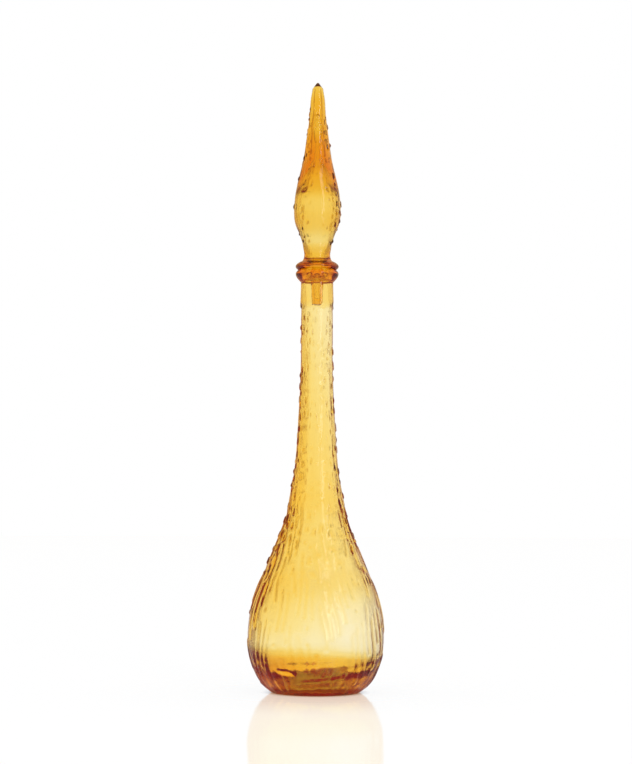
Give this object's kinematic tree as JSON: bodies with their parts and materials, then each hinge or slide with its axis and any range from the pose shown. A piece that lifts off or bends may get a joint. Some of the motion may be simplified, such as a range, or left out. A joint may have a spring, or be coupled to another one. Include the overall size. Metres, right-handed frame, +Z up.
{
  "type": "decanter bottle with spired stopper",
  "caption": "Tall drop-shaped amber glass decanter with a long neck, a pushed-up base, a ring round its mouth and a lift-out hollow glass spire stopper.",
  "frame": {"origin": "centre of the ring that the bottle stands on, at the level of the table", "axes": "+Z up along the bottle's own axis, towards the stopper's point; X and Y lie in the table"},
  "size_m": [0.127, 0.127, 0.56],
  "materials": {
    "bottle_glass": "clear amber glass with a ridged bark-like outer surface",
    "stopper_glass": "clear amber glass, ridged on the bulge and smooth at the point"
  },
  "bodies": {
    "bottle": {"bottle": "bottle_glass", "lip_ring": "bottle_glass"},
    "stopper": {"stopper_peg": "stopper_glass", "stopper_collar": "stopper_glass", "stopper_spire": "stopper_glass"}
  },
  "joints": [
    {"name": "stopper_lift", "type": "slide", "parent": "bottle", "child": "stopper", "axis": [0, 0, 1], "range_m": [0, 0.045]}
  ]
}
